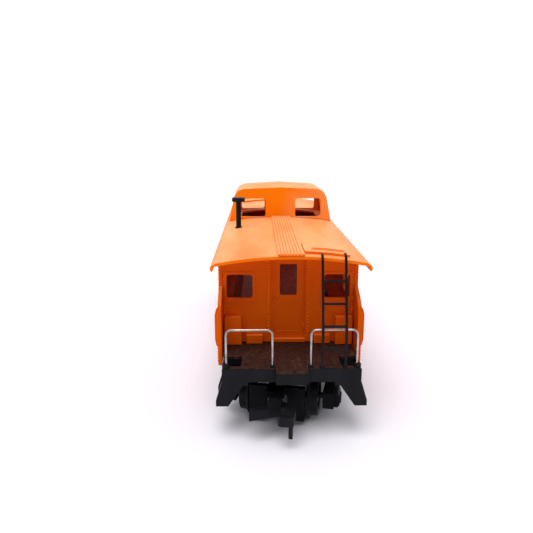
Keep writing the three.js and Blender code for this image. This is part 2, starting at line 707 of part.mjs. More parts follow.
add(caboose, "body_shell", bodyShell(), orange);
add(caboose, "roof", roofSheet().subtract(roofOpening()), orange);
add(caboose, "cupola", cupola(), orange);
const cupolaReach = CUPOLA_HALF_Y + CUPOLA_PROW + 0.3;
add(caboose, "roof_walk_front", roofWalk(-ROOF_Y - 0.2, CUPOLA_MID_Y - cupolaReach), orange);
add(caboose, "roof_walk_rear", roofWalk(CUPOLA_MID_Y + cupolaReach, ROOF_Y + 0.2), orange);
add(caboose, "smoke_stack", smokeStack(), black);
add(caboose, "underframe", underframe(), black);
add(caboose, "ballast_weight", weight(), steel);
add(caboose, "glazing_right", sideGlass(), clear);
add(caboose, "glazing_left", mirrored(sideGlass()), clear);

function addEnd(place, angle) {
  const end = new THREE.Group();
  end.rotation.z = angle;
  caboose.add(end);
  add(end, `landing_board_${place}`, landingBoard(), orange);
  add(end, `deck_plate_${place}`, deckPlate(), brown);
  add(end, `end_glazing_${place}`, endGlass(), clear);
  add(end, `railing_${place}_a`, railing(), wire);
  add(end, `railing_${place}_b`, mirrored(railing()), wire);
  add(end, `ladder_${place}`, ladder(), black);
}

function addTruck(place, side, angle) {
  const truck = new THREE.Group();
  truck.position.y = side * PIVOT_Y;
  truck.rotation.z = angle;
  caboose.add(truck);
  add(truck, `truck_frame_${place}`, truckFrame(), black);
  add(truck, `coupler_${place}`, coupler(), black);
  add(truck, `coupler_cover_${place}`, couplerCover(), black);
  for (const [where, y] of [["outer", -AXLE_Y], ["inner", AXLE_Y]]) {
    const wheelset = new THREE.Group();
    wheelset.position.set(0, y, AXLE_Z);
    truck.add(wheelset);
    add(wheelset, `axle_${place}_${where}`, axle(), steel);
    add(wheelset, `wheel_${place}_${where}_a`, wheel(), black);
    add(wheelset, `wheel_${place}_${where}_b`, wheel(), black).rotation.z = Math.PI;
  }
  const screw = add(caboose, `truck_screw_${place}`, pivotScrew(), steel);
  screw.position.y = side * PIVOT_Y;
}

addEnd("front", 0);
addEnd("rear", Math.PI);
addTruck("front", -1, THREE.MathUtils.degToRad(REST_SWIVEL));
addTruck("rear", 1, Math.PI);

export default caboose;
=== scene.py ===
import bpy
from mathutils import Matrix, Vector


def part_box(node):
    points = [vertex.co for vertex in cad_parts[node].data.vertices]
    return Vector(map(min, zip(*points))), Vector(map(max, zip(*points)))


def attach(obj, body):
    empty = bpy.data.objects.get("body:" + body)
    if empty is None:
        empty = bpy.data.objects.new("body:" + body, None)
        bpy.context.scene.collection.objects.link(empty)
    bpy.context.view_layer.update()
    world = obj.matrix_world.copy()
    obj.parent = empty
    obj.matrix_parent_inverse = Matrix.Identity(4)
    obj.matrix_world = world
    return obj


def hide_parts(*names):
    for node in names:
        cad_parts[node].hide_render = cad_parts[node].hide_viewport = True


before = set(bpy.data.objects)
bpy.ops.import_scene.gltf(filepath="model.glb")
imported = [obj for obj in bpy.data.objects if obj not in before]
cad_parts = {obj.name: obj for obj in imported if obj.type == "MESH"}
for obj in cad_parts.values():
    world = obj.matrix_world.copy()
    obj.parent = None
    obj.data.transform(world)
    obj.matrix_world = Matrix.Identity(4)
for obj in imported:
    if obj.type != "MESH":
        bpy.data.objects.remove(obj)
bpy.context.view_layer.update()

# Looks of an HO-scale cupola caboose. Everything is in metres, in the CAD model's frame:
# +Z up, the car's length along Y, and the end that the camera looks at facing -Y.
import math

import bmesh
import bpy
from mathutils import Matrix, Vector

MM = 0.001
SHARP = math.radians(38)  # edges sharper than this are rounded, and stay crisp in the shading
GLASS_INSET = 1.0 * MM  # from a wall's outer face to the glazing behind it


# ---- Places worked out from the frame ----
BODY_LOW, BODY_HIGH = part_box("body_shell")
ROOF_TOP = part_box("roof")[1].z
DECK_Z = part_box("deck_plate_front")[1].z
WALL_Y = GLASS_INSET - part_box("end_glazing_front")[0].y  # outer face of the end walls
BODY_HALF = GLASS_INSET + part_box("glazing_right")[1].x  # outer face of the side walls
WING_Y = BODY_HIGH.y  # ends of the side walls
ROOF_DROP = 5.24  # the roof falls by this times x squared, in metres
ROOF_UNDERSIDE = 1.3 * MM  # from the roof's top to just below its inner face
PIVOT_Y = 48.5 * MM  # each truck's screw, from the middle of the car
REST_SWIVEL = math.radians(-12.0)  # the front truck is stored turned by this


# ---- Mesh helpers ----
def add_object(name, data):
    """Puts a mesh, light or camera into the scene."""
    obj = bpy.data.objects.new(name, data)
    bpy.context.scene.collection.objects.link(obj)
    return obj


def make_object(name, verts, faces):
    mesh = bpy.data.meshes.new(name)
    mesh.from_pydata(verts, [], faces)
    mesh.validate()
    return add_object(name, mesh)


def from_bmesh(name, bm):
    """An object with the vertices and faces of bm, which is freed."""
    bm.verts.index_update()
    verts = [v.co.copy() for v in bm.verts]
    faces = [[v.index for v in f.verts] for f in bm.faces]
    bm.free()
    return make_object(name, verts, faces)


def apply_modifiers(obj):
    """Turns what the modifiers make into the object's own mesh."""
    graph = bpy.context.evaluated_depsgraph_get()
    baked = bpy.data.meshes.new_from_object(obj.evaluated_get(graph), depsgraph=graph)
    obj.modifiers.clear()
    obj.data = baked
    return obj


def soften(obj, width, segments=2):
    """Rounds the sharp edges, then shades flat faces flat and rounded ones smooth."""
    if width:
        bevel = obj.modifiers.new("bevel", "BEVEL")
        bevel.width = width
        bevel.segments = segments
        bevel.limit_method = "ANGLE"
        bevel.angle_limit = SHARP
        bevel.miter_outer = "MITER_ARC"
        apply_modifiers(obj)
    obj.data.shade_smooth()
    obj.data.set_sharp_from_angle(angle=SHARP)
    even = obj.modifiers.new("even", "WEIGHTED_NORMAL")
    even.keep_sharp = True
    return apply_modifiers(obj)


def recast(node, width, segments=2):
    """A copy of a CAD node with flat faces merged and edges rounded, as moulding leaves them."""
    bm = bmesh.new()
    bm.from_mesh(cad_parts[node].data)
    bmesh.ops.remove_doubles(bm, verts=bm.verts, dist=0.002 * MM)
    bmesh.ops.dissolve_limit(bm, angle_limit=math.radians(0.8), verts=bm.verts, edges=bm.edges)
    return soften(from_bmesh(node + "_skin", bm), width, segments)


def circle(sides):
    """The cosine and sine of each of a circle's corners, in order."""
    turns = [2 * math.pi * k / sides for k in range(sides)]
    return [(math.cos(a), math.sin(a)) for a in turns]


def bridge(bm, low, high):
    """Faces between two rings of as many corners."""
    for k in range(len(low)):
        j = (k + 1) % len(low)
        bm.faces.new([low[k], low[j], high[j], high[k]])


def lathe(name, profile, sides, where):
    """(radius, height) points turned about Z, then moved by the matrix where.

    A profile that starts on the axis ends on it too. Any other is closed into a ring.
    """
    bm = bmesh.new()
    rings = []
    for radius, height in profile:
        if radius == 0:
            rings.append([bm.verts.new((0, 0, height))])
        else:
            corners = [(radius * c, radius * s, height) for c, s in circle(sides)]
            rings.append([bm.verts.new(corner) for corner in corners])
    last = rings[:1] if len(rings[0]) > 1 else []
    for low, high in zip(rings, rings[1:] + last):
        for i in range(sides):
            j = (i + 1) % sides
            around = [low[i % len(low)], low[j % len(low)], high[j % len(high)], high[i % len(high)]]
            face = list(dict.fromkeys(around))  # a ring of one corner gives a triangle
            if len(face) > 2:
                bm.faces.new(face)
    bmesh.ops.recalc_face_normals(bm, faces=bm.faces)
    bmesh.ops.transform(bm, matrix=where, verts=bm.verts)
    return from_bmesh(name, bm)


def fillet(points, radius, steps=4):
    """A polyline in three dimensions whose inner corners are rounded by arcs."""
    out = [Vector(points[0])]
    for before, corner, after in zip(points, points[1:], points[2:]):
        corner = Vector(corner)
        start = corner + (Vector(before) - corner).normalized() * radius
        end = corner + (Vector(after) - corner).normalized() * radius
        for i in range(steps + 1):
            t = i / steps
            out.append(start.lerp(corner, t).lerp(corner.lerp(end, t), t))
    out.append(Vector(points[-1]))
    return out


def tube(name, path, radius, sides=14, side=Vector((0, 1, 0))):
    """A wire along a flat path; side is the normal of the plane that the path lies in."""
    bm = bmesh.new()
    rings = []
    for i, point in enumerate(path):
        ahead = (path[min(i + 1, len(path) - 1)] - path[max(i - 1, 0)]).normalized()
        across = ahead.cross(side).normalized()
        spokes = [(across * c + side * s) * radius for c, s in circle(sides)]
        rings.append([bm.verts.new(point + spoke) for spoke in spokes])
    for low, high in zip(rings, rings[1:]):
        bridge(bm, low, high)
    bm.faces.new(rings[0])
    bm.faces.new(rings[-1])
    bmesh.ops.recalc_face_normals(bm, faces=bm.faces)
    return soften(from_bmesh(name, bm), 0)


def block(bm, low, high):
    """Adds a box between two corners to a mesh that is being made."""
    made = bmesh.ops.create_cube(bm, size=1)["verts"]
    middle = (Vector(low) + Vector(high)) / 2
    size = Vector(high) - Vector(low)
    for v in made:
        v.co = Vector(v.co[k] * size[k] + middle[k] for k in range(3))


def blocks(name, boxes, width):
    """One piece made of boxes, each a pair of corners, with edges rounded by width."""
    bm = bmesh.new()
    for low, high in boxes:
        block(bm, low, high)
    return soften(from_bmesh(name, bm), width)


def domes(name, spots, radius, sides=8):
    """Rivet heads: a dome at each (point, outward normal)."""
    bm = bmesh.new()
    for point, normal in spots:
        turn = Vector(normal).to_track_quat("Z", "Y").to_matrix()
        top = bm.verts.new(Vector(point) + turn @ Vector((0, 0, radius)))
        rings = []
        for share, rise in ((1.0, -0.25), (0.94, 0.35), (0.62, 0.78)):
            local = [Vector((c * share, s * share, rise)) * radius for c, s in circle(sides)]
            rings.append([bm.verts.new(Vector(point) + turn @ corner) for corner in local])
        for low, high in zip(rings, rings[1:]):
            bridge(bm, low, high)
        for k in range(sides):
            bm.faces.new([rings[-1][k], rings[-1][(k + 1) % sides], top])
        bm.faces.new(list(reversed(rings[0])))
    obj = from_bmesh(name, bm)
    obj.data.shade_smooth()
    return obj


def merge(name, objs):
    """Joins finished objects into one piece."""
    bm = bmesh.new()
    for obj in objs:
        bm.from_mesh(obj.data)
        bpy.data.objects.remove(obj)
    mesh = bpy.data.meshes.new(name)
    bm.to_mesh(mesh)
    bm.free()
    return add_object(name, mesh)


def half_turn(obj, name):
    """A copy turned half a turn about Z, for the far end."""
    copy = add_object(name, obj.data.copy())
    copy.data.transform(Matrix.Rotation(math.pi, 4, "Z"))
    return copy


def mirror_x(spots):
    """Spots on one side of the car, with the same ones on the other side."""
    return spots + [((-p[0], p[1], p[2]), (-n[0], n[1], n[2])) for p, n in spots]


def place(obj, body, slot, material, *nodes):
    """Gives a piece its material and its body, and hides the CAD nodes that it stands for. The slot is
    not used.
    """
    obj.data.materials.clear()
    obj.data.materials.append(material)
    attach(obj, body)
    if nodes:
        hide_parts(*nodes)


# ---- Material helpers ----
class Nodes:
    """A short way to write a node material."""

    def __init__(self, name):
        self.material = bpy.data.materials.new(name)
        self.material.use_nodes = True
        self.tree = self.material.node_tree
        self.shader = self.tree.nodes["Principled BSDF"]
        self.coords = self.tree.nodes.new("ShaderNodeTexCoord").outputs["Object"]

    def link(self, source, target):
        self.tree.links.new(source, target)

    def noise(self, scale, detail, stretch=(1, 1, 1)):
        mapping = self.tree.nodes.new("ShaderNodeMapping")
        mapping.inputs["Scale"].default_value = stretch
        self.link(self.coords, mapping.inputs["Vector"])
        node = self.tree.nodes.new("ShaderNodeTexNoise")
        node.inputs["Scale"].default_value = scale
        node.inputs["Detail"].default_value = detail
        self.link(mapping.outputs["Vector"], node.inputs["Vector"])
        return node.outputs["Fac"]

    def ramp(self, source, stops):
        node = self.tree.nodes.new("ShaderNodeValToRGB")
        ramp = node.color_ramp
        while len(ramp.elements) < len(stops):
            ramp.elements.new(0.5)
        for element, (at, color) in zip(ramp.elements, stops):
            element.position = at
            element.color = (*color, 1)
        self.link(source, node.inputs["Fac"])
        return node.outputs["Color"]

    def grey(self, source, low, high, start=0.3, end=0.7):
        """A number that goes from low to high while the source goes from start to end."""
        return self.ramp(source, [(start, (low, low, low)), (end, (high, high, high))])

    def mix(self, factor, first, second, kind="MIX"):
        node = self.tree.nodes.new("ShaderNodeMix")
        node.data_type = "RGBA"
        node.blend_type = kind
        sockets = node.inputs[0], node.inputs[6], node.inputs[7]
        for value, socket in zip((factor, first, second), sockets):
            if isinstance(value, (int, float)):
                socket.default_value = value
            elif isinstance(value, tuple):
                socket.default_value = (*value, 1)
            else:
                self.link(value, socket)
        return node.outputs[2]

    def facing(self, axis):
        """How far a surface faces along one axis: 1 along it, -1 against it."""
        geometry = self.tree.nodes.new("ShaderNodeNewGeometry")
        parts = self.tree.nodes.new("ShaderNodeSeparateXYZ")
        self.link(geometry.outputs["Normal"], parts.inputs[0])
        return parts.outputs[axis]

    def bump(self, height, strength, distance):
        node = self.tree.nodes.new("ShaderNodeBump")
        node.inputs["Strength"].default_value = strength
        node.inputs["Distance"].default_value = distance
        self.link(height, node.inputs["Height"])
        self.link(node.outputs["Normal"], self.shader.inputs["Normal"])

    def color(self, source):
        self.link(source, self.shader.inputs["Base Color"])

    def rough(self, source):
        self.link(source, self.shader.inputs["Roughness"])

    def set(self, **values):
        for key, value in values.items():
            self.shader.inputs[key.replace("_", " ")].default_value = value


TOP_HIGHLIGHT_ORANGE = (1.0, 0.48, 0.20)  # painted highlight: the glare of the light above, painted on surfaces that face up


def orange_plastic(name, low, high, pale=TOP_HIGHLIGHT_ORANGE, top_highlight=0.8, side=0.0, rough=(0.34, 0.46)):
    """Moulded orange, between low and high in flow marks, with a little light let in.

    Faces turned up get a painted highlight, the pale colour in clouds, for the glare of the light from
    above. side is how much of that painted highlight goes on faces turned a little towards +X, for the
    light that falls on that side.
    """
    m = Nodes(name)
    flow = m.noise(70, 4, (1, 0.35, 1))
    tone = m.ramp(flow, [(0.3, low), (0.7, high)])
    cloud = m.mix(m.grey(m.noise(80, 5, (1, 0.3, 1)), 0.35, 0.9, 0.36, 0.64), tone, pale)
    # painted highlight: faces turned up get the pale colour, for the glare of the light above
    painted_highlights = m.mix(m.grey(m.facing("Z"), 0.0, top_highlight, 0.45, 1.0), tone, cloud)
    # painted highlight: faces turned a little towards +X get the pale colour too, for the light
    # falling on that side
    if side:
        painted_highlights = m.mix(m.grey(m.facing("X"), 0.0, side, 0.02, 0.14), painted_highlights, pale)
    m.color(painted_highlights)
    m.rough(m.grey(m.noise(900, 4), *rough))
    m.bump(m.noise(2600, 3), 0.06, 0.05 * MM)
    m.set(Subsurface_Weight=0.08, Subsurface_Radius=(1.0, 0.25, 0.05), Subsurface_Scale=0.7 * MM)
    m.set(IOR=1.5, Specular_IOR_Level=0.05)
    return m.material


def black_plastic(name="black_plastic", tone=0.0065, rough=(0.36, 0.5), gloss=0.1):
    """Satin black moulding with faint streaks and dust on its ledges."""
    m = Nodes(name)
    streak = m.noise(160, 5, (1, 1, 0.4))
    worn = tone * 1.8
    base = m.ramp(streak, [(0.3, (tone, tone, tone * 1.3)), (0.75, (worn, worn, tone * 2.3))])
    dust = m.mix(m.grey(m.noise(900, 6), 0.0, 0.14, 0.55, 0.8), base, (0.13, 0.12, 0.13))
    m.color(m.mix(m.grey(m.facing("Z"), 0.0, 1.0, 0.3, 1.0), base, dust))
    m.rough(m.grey(m.noise(700, 4), *rough))
    m.bump(m.noise(3200, 3), 0.10, 0.05 * MM)
    m.set(IOR=1.48, Specular_IOR_Level=gloss)
    return m.material


def deck_brown():
    """Brown platform covering: grain that runs across the car, and pale specks."""
    m = Nodes("deck_brown")
    grain = m.noise(2000, 7, (0.4, 1, 1))
    low, middle, high = (0.008, 0.003, 0.002), (0.027, 0.0095, 0.0065), (0.072, 0.028, 0.018)
    base = m.ramp(grain, [(0.36, low), (0.52, middle), (0.66, high)])
    patches = m.grey(m.noise(140, 3), 0.25, 1.0, 0.45, 0.65)
    specks = m.mix(1.0, m.grey(m.noise(3200, 2), 0.0, 0.6, 0.60, 0.72), patches, "MULTIPLY")
    m.color(m.mix(specks, base, (0.36, 0.21, 0.14)))
    m.rough(m.grey(grain, 0.55, 0.8))
    m.bump(m.mix(0.5, grain, m.noise(2600, 5)), 0.7, 0.14 * MM)
    m.set(Specular_IOR_Level=0.2)
    return m.material


def bright_wire():
    """Drawn wire, bright with a dull tarnish in places."""
    m = Nodes("bright_wire")
    tarnish = m.noise(600, 5)
    m.color(m.ramp(tarnish, [(0.3, (0.26, 0.24, 0.23)), (0.65, (0.52, 0.50, 0.49))]))
    m.rough(m.grey(m.noise(1500, 4), 0.22, 0.42))
    m.bump(m.noise(5000, 2, (1, 1, 0.1)), 0.05, 0.03 * MM)
    m.set(Metallic=1.0)
    return m.material


def plain_steel(name="plain_steel", dark=(0.24, 0.23, 0.22), light=(0.42, 0.42, 0.43), metal=1.0):
    """Turned or sawn steel; dark and light make it bright, blackened or rusty."""
    m = Nodes(name)
    m.color(m.ramp(m.noise(500, 5), [(0.3, dark), (0.7, light)]))
    m.rough(m.grey(m.noise(2200, 3, (1, 0.08, 1)), 0.28, 0.5))
    m.bump(m.noise(4000, 2, (1, 0.05, 1)), 0.12, 0.04 * MM)
    m.set(Metallic=metal)
    return m.material


def clear_sheet():
    """Thin clear styrene, a little cloudy and scuffed, tinted red as a painted glow for the lit inside
    of the shell and its reflections.
    """
    m = Nodes("clear_sheet")
    # painted glow: the red colour stands for the lit inside of the shell seen through the pane
    m.color(m.ramp(m.noise(260, 4), [(0.35, (0.42, 0.012, 0.002)), (0.7, (0.75, 0.05, 0.02))]))
    m.rough(m.grey(m.noise(300, 5), 0.08, 0.24, 0.4, 0.75))
    m.bump(m.noise(240, 2), 0.08, 0.2 * MM)
    m.set(Alpha=0.1, IOR=1.45, Specular_IOR_Level=0.08)
    return m.material


def floor_material():
    """White studio sweep, very slightly uneven and lilac."""
    m = Nodes("floor")
    m.color(m.ramp(m.noise(3, 2), [(0.3, (0.86, 0.84, 0.91)), (0.7, (0.88, 0.86, 0.93))]))
    m.set(Roughness=0.9, Specular_IOR_Level=0.05)
    return m.material


# ---- Rivets and fittings on the shell ----
RIVET = 0.27 * MM  # radius of a head
RIVET_STEP = 1.26 * MM  # along a row
CLOSE_STEP = 0.8 * MM  # up a column
DOOR_SEAM_X = 5.1 * MM
CORNER_SEAM_X = 16.5 * MM
LOCKER_TOP = 8.2 * MM  # above the deck, where the columns clear the lockers
SIDE_SEAMS_Y = [y * MM for y in (-45.6, -32.8, -23.0, -10.0, 1.5, 14.5, 27.5, 40.5)]
UPPER_ROW = 22.2 * MM  # above the deck


def line_of_rivets(start, end, normal, step):
    """Evenly spaced spots from start to end, about a step apart."""
    start, end = Vector(start), Vector(end)
    count = max(1, round((end - start).length / step))
    return [(tuple(start.lerp(end, i / count)), normal) for i in range(count + 1)]


def roof_under(x):
    """Height of the roof's inner face at x."""
    return ROOF_TOP - ROOF_DROP * x * x - ROOF_UNDERSIDE


def end_rivets():
    """Columns of rivets beside the door and at the corners of the near end wall."""

    def column(x, low, high):
        return line_of_rivets((x, -WALL_Y, low), (x, -WALL_Y, high), (0, -1, 0), CLOSE_STEP)

    spots = []
    for x in (DOOR_SEAM_X, CORNER_SEAM_X):
        spots += column(x, DECK_Z + LOCKER_TOP, roof_under(x))
    spots += column(DOOR_SEAM_X, DECK_Z + 2.8 * MM, DECK_Z + 7 * MM)
    return mirror_x(spots)


def side_rivets():
    """Rows and columns on both side walls."""

    def line(y0, z0, y1, z1, step):
        return line_of_rivets((BODY_HALF, y0, z0), (BODY_HALF, y1, z1), (1, 0, 0), step)

    spots = []
    top = DECK_Z + UPPER_ROW
    low = BODY_LOW.z + 1.0 * MM
    row_end = WALL_Y - 1 * MM
    for z in (top, low, low + 2.6 * MM):
        spots += line(-row_end, z, row_end, z, RIVET_STEP)
    corner = WALL_Y - 0.6 * MM
    for y in SIDE_SEAMS_Y + [-corner, corner]:
        spots += line(y, low + 4 * MM, y, top - 1.3 * MM, CLOSE_STEP)
    wing = WING_Y - 0.8 * MM
    for y in (-wing, wing):
        spots += line(y, low, y, DECK_Z + 9.5 * MM, CLOSE_STEP)
    return mirror_x(spots)


def shell_rivets():
    """All the rivets of the shell as one piece."""
    near = domes("near", end_rivets(), RIVET)
    far = half_turn(near, "far")
    sides = domes("sides", side_rivets(), RIVET)
    return merge("shell_rivets", [near, far, sides])


DOOR_RECESS = 0.6 * MM  # from the end wall's face back to the door's
HINGES_Z = (3.2, 11.6, 21.6)  # their lower ends, in mm above the deck
HINGE_TALL = 1.5  # in mm
PANEL_HALF = 3.2 * MM
KNOB_X = -3.5 * MM
KNOB_R = 0.42 * MM


def door_fittings():
    """Knob, hinges and the panel lines of the near door."""
    face = -WALL_Y + DOOR_RECESS
    deep = face + 0.1 * MM
    boxes = []
    for z in HINGES_Z:
        foot = (3.9 * MM, face - 0.3 * MM, DECK_Z + z * MM)
        boxes.append((foot, (4.35 * MM, deep, DECK_Z + (z + HINGE_TALL) * MM)))
    rim = 0.35 * MM
    left, right, low, high = -PANEL_HALF, PANEL_HALF, DECK_Z + 2.6 * MM, DECK_Z + 10.6 * MM
    near = face - 0.14 * MM
    boxes += [
        ((left, near, low), (right, deep, low + rim)),
        ((left, near, high - rim), (right, deep, high)),
        ((left, near, low + rim), (left + rim, deep, high - rim)),
        ((right - rim, near, low + rim), (right, deep, high - rim)),
    ]
    panels = blocks("panels", boxes, 0.05 * MM)
    spot = Matrix.Translation((KNOB_X, face + 0.05 * MM, DECK_Z + 11.6 * MM))
    shares = [(0, 0), (0.6, 0), (0.6, 1), (1, 1.3), (1, 1.9), (0.5, 2.3), (0, 2.3)]
    profile = [(KNOB_R * radius, KNOB_R * height) for radius, height in shares]
    knob = soften(lathe("knob", profile, 16, spot @ Matrix.Rotation(math.pi / 2, 4, "X")), 0)
    return merge("door_fittings_near", [panels, knob])


SIDE_WINDOWS_Y = (-39.2 * MM, -16.5 * MM, 34.0 * MM)


def window_sashes():
    """A thin raised rim and a sill round each side window, on the outside of the wall."""
    boxes = []
    rim = 0.45 * MM
    proud = 0.16 * MM
    half = 3.9 * MM
    low = DECK_Z + 10.0 * MM
    high = DECK_Z + 17.6 * MM
    for side in (-1, 1):
        inner = side * (BODY_HALF - 0.1 * MM)
        x0, x1 = sorted((inner, side * (BODY_HALF + proud)))
        sill0, sill1 = sorted((inner, side * (BODY_HALF + proud + rim)))
        for y in SIDE_WINDOWS_Y:
            boxes += [
                ((x0, y - half - rim, high), (x1, y + half + rim, high + rim)),
                ((sill0, y - half - rim * 2, low - rim * 1.6), (sill1, y + half + rim * 2, low)),
                ((x0, y - half - rim, low), (x1, y - half, high)),
                ((x0, y + half, low), (x1, y + half + rim, high)),
            ]
    return blocks("window_sashes", boxes, 0.07 * MM)


# ---- Car body ----
def place_on_car(nodes, slot, look, width, segments=2):
    """Recasts CAD nodes of the car, edges rounded by width, and places each."""
    for node in nodes:
        place(recast(node, width, segments), "car", slot, look, node)


def build_body(looks):
    """Everything that rides on the body called car."""
    place_on_car(["body_shell"], "orange_shell", looks["shell"], 0.10 * MM)
    place_on_car(["roof"], "orange_shell", looks["roof"], 0.14 * MM, 3)
    place_on_car(["cupola"], "orange_shell", looks["cupola"], 0.16 * MM, 3)
    walks = ["roof_walk_front", "roof_walk_rear"]
    place_on_car(walks, "orange_shell", looks["roof"], 0.05 * MM)
    boards = ["landing_board_front", "landing_board_rear"]
    place_on_car(boards, "orange_shell", looks["roof"], 0.09 * MM)
    place(shell_rivets(), "car", "orange_shell", looks["rivets"])
    near = door_fittings()
    far = half_turn(near, "door_fittings_far")
    for fittings in (near, far, window_sashes()):
        place(fittings, "car", "orange_shell", looks["shell"])
    place(smoke_stack(), "car", "black_plastic", looks["black"], "smoke_stack")
    place_on_car(["underframe"], "black_plastic", looks["black"], 0.12 * MM)
    decks = ["deck_plate_front", "deck_plate_rear"]
    place_on_car(decks, "brown_deck", looks["deck"], 0.06 * MM)
    ladders = ["ladder_front", "ladder_rear"]
    place_on_car(ladders, "black_plastic", looks["black"], 0.12 * MM)
    for node in ("railing_front_a", "railing_front_b", "railing_rear_a", "railing_rear_b"):
        place(railing(node), "car", "bright_wire", looks["wire"], node)
    place_on_car(["ballast_weight"], "steel", looks["rusty"], 0.3 * MM)
    screws = ["truck_screw_front", "truck_screw_rear"]
    place_on_car(screws, "steel", looks["steel"], 0.08 * MM)
    panes = ["glazing_left", "glazing_right", "end_glazing_front", "end_glazing_rear"]
    place_on_car(panes, "clear_glazing", looks["clear"], 0.05 * MM)


def smoke_stack():
    """Pipe with a foot and a T-shaped cap."""
    low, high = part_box("smoke_stack")
    middle = (low + high) / 2
    tall = high.z - low.z
    cap = (high.x - low.x) / 2
    pipe = cap * 0.39
    profile = [
        (0, 0),
        (pipe * 1.35, 0),
        (pipe * 1.35, 0.45 * MM),
        (pipe, 0.65 * MM),
        (pipe, tall - 1.3 * MM),
        (cap - 0.15 * MM, tall - 1.28 * MM),
        (cap, tall - 1.13 * MM),
        (cap, tall - 0.25 * MM),
        (cap - 0.2 * MM, tall - 0.06 * MM),
        (cap - 0.5 * MM, tall),
        (0, tall),
    ]
    foot = Matrix.Translation((middle.x, middle.y, low.z))
    return soften(lathe("smoke_stack_skin", profile, 40, foot), 0)


def railing(node):
    """One bent wire in place of a CAD railing: two posts and a top bar with rounded corners."""
    low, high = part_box(node)
    r = (high.y - low.y) / 2
    y = (low.y + high.y) / 2
    x0, x1 = low.x + r, high.x - r
    top = high.z - r * 0.6
    path = fillet([(x0, y, low.z), (x0, y, top), (x1, y, top), (x1, y, low.z)], 1.5 * MM, 8)
    return tube(node + "_skin", path, r)


# ---- Trucks ----
AXLE_Y = 9.7 * MM  # each side of the screw
AXLE_Z = 6.2 * MM
AXLE_HALF = 12.35 * MM
AXLE_R = 0.75 * MM
PLATE_OUT = 13.9 * MM  # outer face of the side frames
JOURNAL_OUT = 15.3 * MM  # outer face of the boxes at the axle ends
COIL_Y = (-1.9 * MM, 0, 1.9 * MM)
COIL_LOW, COIL_RISE, COIL_TURNS = 3.6 * MM, 0.72 * MM, 6
WHEEL_BACK, WHEEL_FRONT = 7.2 * MM, 10.0 * MM  # faces of a wheel, from the middle of its axle
TREAD_R = 5.1 * MM


def truck_place(end):
    """From a straight truck about its own screw to its place at rest."""
    if end == "front":
        return Matrix.Translation((0, -PIVOT_Y, 0)) @ Matrix.Rotation(REST_SWIVEL, 4, "Z")
    return Matrix.Translation((0, PIVOT_Y, 0)) @ Matrix.Rotation(math.pi, 4, "Z")


def truck_fittings(end):
    """Journal lids, bolts and coil springs in relief on both side frames."""
    parts = []
    half = 0.26 * MM
    ring = [(0, -half), (0.7 * MM, -half), (0.86 * MM, 0), (0.7 * MM, half), (0, half)]
    for side in (-1, 1):
        x0, x1 = sorted((side * (JOURNAL_OUT - 0.2 * MM), side * (JOURNAL_OUT + 0.3 * MM)))
        for y in (-AXLE_Y - 0.15 * MM, AXLE_Y + 0.15 * MM):
            parts.append(blocks("lid", [
                ((x0, y - 1.35 * MM, AXLE_Z - 1.1 * MM), (x1, y + 1.35 * MM, AXLE_Z + 1.0 * MM)),
                ((x0, y - 0.7 * MM, AXLE_Z + 0.9 * MM), (x1, y + 0.7 * MM, AXLE_Z + 1.35 * MM)),
            ], 0.14 * MM))
        for y in COIL_Y:
            for k in range(COIL_TURNS):
                spot = Matrix.Translation((side * (PLATE_OUT - 0.1 * MM), y, COIL_LOW + k * COIL_RISE))
                parts.append(soften(lathe("coil", ring, 16, spot), 0))
        spots = [(y, z) for y in (-5.4, 5.4) for z in (4.7, 8.1)]
        spots += [(y, z) for y in (-2.9, 2.9) for z in (3.3, 8.9)]
        bolts = [((side * PLATE_OUT, y * MM, z * MM), (side, 0, 0)) for y, z in spots]
        parts.append(domes("bolts", bolts, 0.3 * MM, 10))
    obj = merge(f"truck_fittings_{end}", parts)
    obj.data.transform(truck_place(end))
    return obj


def wheel_skin(node, end, y, side):
    """One wheel, turned about X: flange, coned tread, rim, dished plate and hub."""
    low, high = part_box(node)
    flange = (high.z - low.z) / 2
    back, front, tread = WHEEL_BACK, WHEEL_FRONT, TREAD_R
    profile = [
        (0.95 * MM, back + 0.2 * MM),
        (1.7 * MM, back + 0.1 * MM),
        (2.0 * MM, back + 0.7 * MM),
        (4.2 * MM, back + 0.7 * MM),
        (4.6 * MM, back),
        (flange - 0.35 * MM, back),
        (flange - 0.1 * MM, back + 0.1 * MM),
        (flange, back + 0.32 * MM),
        (flange - 0.12 * MM, back + 0.52 * MM),
        (tread + 0.3 * MM, back + 0.78 * MM),
        (tread + 0.1 * MM, back + 0.95 * MM),
        (tread - 0.05 * MM, front - 0.15 * MM),
        (tread - 0.2 * MM, front),
        (4.15 * MM, front),
        (3.95 * MM, front - 0.12 * MM),
        (3.5 * MM, front - 0.75 * MM),
        (2.1 * MM, front - 0.85 * MM),
        (1.7 * MM, front - 0.25 * MM),
        (0.95 * MM, front - 0.2 * MM),
    ]
    turn = Matrix.Translation((0, y, AXLE_Z)) @ Matrix.Rotation(side * math.pi / 2, 4, "Y")
    return soften(lathe(node + "_skin", profile, 72, truck_place(end) @ turn), 0)


def axle_skin(node, end, y):
    """A round axle with pointed ends."""
    tip = [(0, -AXLE_HALF), (AXLE_R * 0.35, 0.4 * MM - AXLE_HALF), (AXLE_R, 1.0 * MM - AXLE_HALF)]
    profile = tip + [(radius, -x) for radius, x in reversed(tip)]
    turn = Matrix.Translation((0, y, AXLE_Z)) @ Matrix.Rotation(math.pi / 2, 4, "Y")
    return soften(lathe(node + "_skin", profile, 24, truck_place(end) @ turn), 0)


